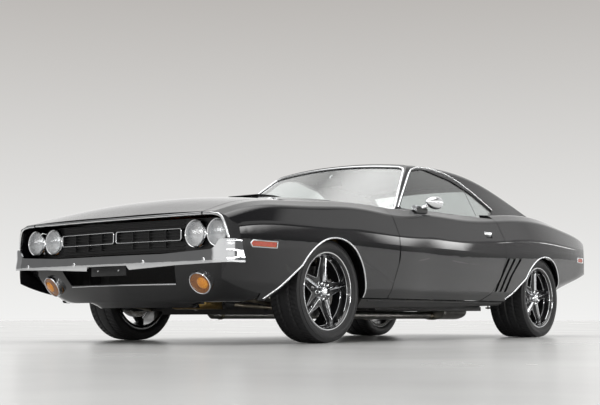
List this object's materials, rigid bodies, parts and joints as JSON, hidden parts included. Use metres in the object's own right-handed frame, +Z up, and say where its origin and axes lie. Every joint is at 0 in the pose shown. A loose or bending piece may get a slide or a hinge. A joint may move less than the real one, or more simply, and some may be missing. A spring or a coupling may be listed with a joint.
{
  "type": "muscle car",
  "caption": "Two-door hardtop muscle car with a long hood, a wide grille, round headlamps, five-spoke wheels, opening doors, hood and trunk, and steered front wheels.",
  "frame": {"origin": "on the ground under the middle of the car's bounding box", "axes": "+Z is up, the nose points along -Y, and +X is the car's left side"},
  "size_m": [1.9414, 4.8605, 1.3167],
  "materials": {
    "body_paint": "gloss black enamel under clear coat",
    "chrome_trim": "polished chrome plate",
    "black_underbody": "satin black pressed steel",
    "grille_black": "satin black",
    "lamp_glass": "fluted clear glass",
    "amber_lens": "clear and amber moulded lens",
    "red_lens": "red moulded lens",
    "window_glass": "clear with a faint green tint",
    "seat_vinyl": "grained black vinyl",
    "dash_plastic": "grained black plastic",
    "cast_metal": "painted and bare castings",
    "chassis_steel": "semi-gloss black steel",
    "exhaust_steel": "aluminised steel",
    "wheel_chrome": "polished alloy with black recesses",
    "tyre_rubber": "black tyre rubber"
  },
  "bodies": {
    "root": {"roof_panel": "body_paint", "quarter_left": "body_paint", "quarter_right": "body_paint", "fender_left": "body_paint", "fender_right": "body_paint", "cowl_panel": "body_paint", "front_valance": "body_paint", "tail_panel": "body_paint", "front_bumper": "chrome_trim", "rear_bumper": "chrome_trim", "floor_pan": "black_underbody", "grille": "grille_black", "headlamps": "lamp_glass", "marker_lamps": "amber_lens", "tail_lamps": "red_lens", "windshield": "window_glass", "rear_window": "window_glass", "quarter_windows": "window_glass", "front_seats": "seat_vinyl", "rear_seat": "seat_vinyl", "dashboard": "dash_plastic", "engine_block": "cast_metal", "driveline": "cast_metal", "leaf_springs": "chassis_steel", "exhaust": "exhaust_steel", "fuel_tank": "exhaust_steel", "front_suspension": "chassis_steel"},
    "knuckle_left": {"knuckle_left": "cast_metal"},
    "knuckle_right": {"knuckle_right": "cast_metal"},
    "wheel_fl": {"rim_fl": "wheel_chrome", "tyre_fl": "tyre_rubber"},
    "wheel_fr": {"rim_fr": "wheel_chrome", "tyre_fr": "tyre_rubber"},
    "wheel_rl": {"rim_rl": "wheel_chrome", "tyre_rl": "tyre_rubber"},
    "wheel_rr": {"rim_rr": "wheel_chrome", "tyre_rr": "tyre_rubber"},
    "door_left": {"door_left": "body_paint", "door_glass_left": "window_glass", "mirror_left": "chrome_trim"},
    "door_right": {"door_right": "body_paint", "door_glass_right": "window_glass"},
    "hood": {"hood": "body_paint"},
    "trunk_lid": {"trunk_lid": "body_paint"},
    "steering_wheel": {"steering_wheel": "dash_plastic"}
  },
  "joints": [
    {"name": "steer_left", "type": "hinge", "parent": "root", "child": "knuckle_left", "pos_m": [0.748, -1.455, 0.315], "axis": [0, 0, 1], "range_deg": [-28, 28]},
    {"name": "steer_right", "type": "hinge", "parent": "root", "child": "knuckle_right", "pos_m": [-0.748, -1.455, 0.315], "axis": [0, 0, 1], "range_deg": [-28, 28]},
    {"name": "steering_wheel_turn", "type": "hinge", "parent": "root", "child": "steering_wheel", "pos_m": [0.37, -0.4, 0.7], "axis": [0, 0.9033, 0.4291], "range_deg": [-505, 505]},
    {"name": "spin_fl", "type": "hinge", "parent": "knuckle_left", "child": "wheel_fl", "pos_m": [0.8085, -1.455, 0.315], "axis": [1, 0, 0], "continuous": true},
    {"name": "spin_fr", "type": "hinge", "parent": "knuckle_right", "child": "wheel_fr", "pos_m": [-0.8085, -1.455, 0.315], "axis": [1, 0, 0], "continuous": true},
    {"name": "spin_rl", "type": "hinge", "parent": "root", "child": "wheel_rl", "pos_m": [0.77, 1.339, 0.315], "axis": [1, 0, 0], "continuous": true},
    {"name": "spin_rr", "type": "hinge", "parent": "root", "child": "wheel_rr", "pos_m": [-0.77, 1.339, 0.315], "axis": [1, 0, 0], "continuous": true},
    {"name": "door_left_hinge", "type": "hinge", "parent": "root", "child": "door_left", "pos_m": [0.969, -0.834, 0.6], "axis": [0, 0, -1], "range_deg": [0, 65]},
    {"name": "door_right_hinge", "type": "hinge", "parent": "root", "child": "door_right", "pos_m": [-0.969, -0.834, 0.6], "axis": [0, 0, 1], "range_deg": [0, 65]},
    {"name": "hood_hinge", "type": "hinge", "parent": "root", "child": "hood", "pos_m": [0, -0.744, 0.95], "axis": [-1, 0, 0], "range_deg": [0, 50]},
    {"name": "trunk_hinge", "type": "hinge", "parent": "root", "child": "trunk_lid", "pos_m": [0, 1.67, 0.962], "axis": [1, 0, 0], "range_deg": [0, 60]}
  ],
  "couplings": [
    {"joint": "steer_right", "follows": "steer_left", "ratio": 1},
    {"joint": "steering_wheel_turn", "follows": "steer_left", "ratio": 18}
  ]
}
